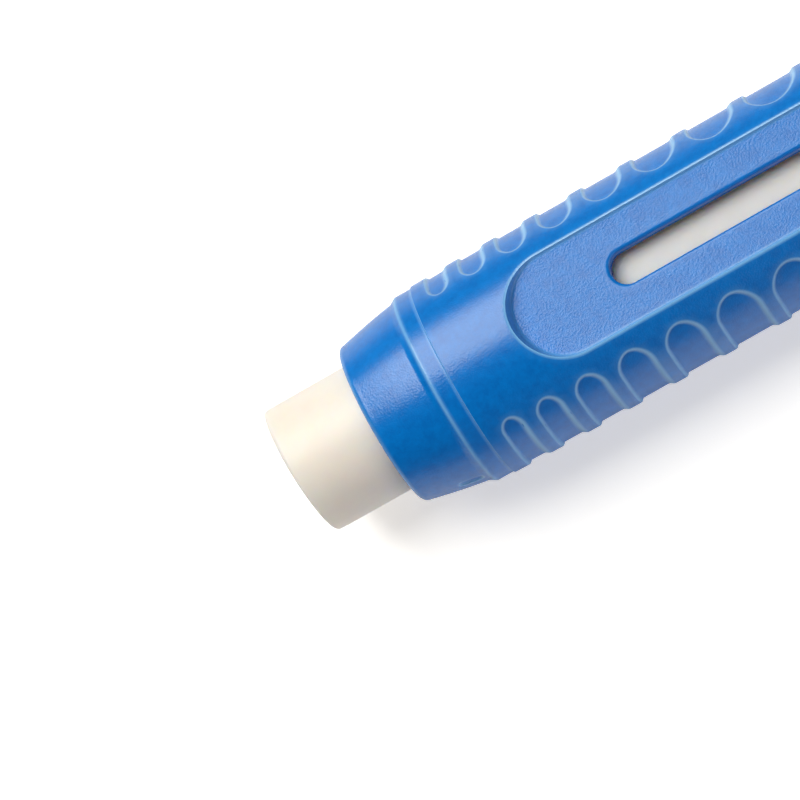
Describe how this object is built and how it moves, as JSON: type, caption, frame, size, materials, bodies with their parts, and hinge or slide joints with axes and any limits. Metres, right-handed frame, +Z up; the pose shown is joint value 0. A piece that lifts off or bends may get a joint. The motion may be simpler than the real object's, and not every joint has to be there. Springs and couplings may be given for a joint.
{
  "type": "refillable eraser holder",
  "caption": "Slim blue eraser holder with a ribbed grip, a sunk panel and slot, and a thumb slide that moves a round white eraser stick in and out.",
  "frame": {"origin": "centre of the bounding box in X and Y, at the level of the flat that the holder lies on", "axes": "+X along the barrel from the eraser tip to the end cap, +Z up through the panel and the thumb slide, +Y to the left seen from the end cap"},
  "size_m": [0.1196, 0.0108, 0.0122],
  "materials": {
    "blue_plastic": "satin, fine moulded texture",
    "white_vinyl": "matte",
    "inner_plastic": "satin",
    "spring_steel": "bright"
  },
  "bodies": {
    "barrel": {"barrel": "blue_plastic", "nose_cone": "blue_plastic", "end_cap": "blue_plastic"},
    "carriage": {"carriage": "inner_plastic", "eraser_cup": "inner_plastic", "pawl_spring": "spring_steel"},
    "button": {"lock_pawl": "inner_plastic", "thumb_slide": "blue_plastic"},
    "eraser": {"eraser_stick": "white_vinyl"}
  },
  "joints": [
    {"name": "advance_slide", "type": "slide", "parent": "barrel", "child": "carriage", "axis": [-1, 0, 0], "range_m": [-0.005, 0.06265]},
    {"name": "unlock_press", "type": "slide", "parent": "carriage", "child": "button", "axis": [0, 0, -1], "range_m": [0, 0.00045], "stiffness_N_per_m": 300, "springref_m": -0.0005, "deforming": ["pawl_spring"]},
    {"name": "eraser_pull", "type": "slide", "parent": "carriage", "child": "eraser", "axis": [-1, 0, 0], "range_m": [0, 0.078]}
  ]
}
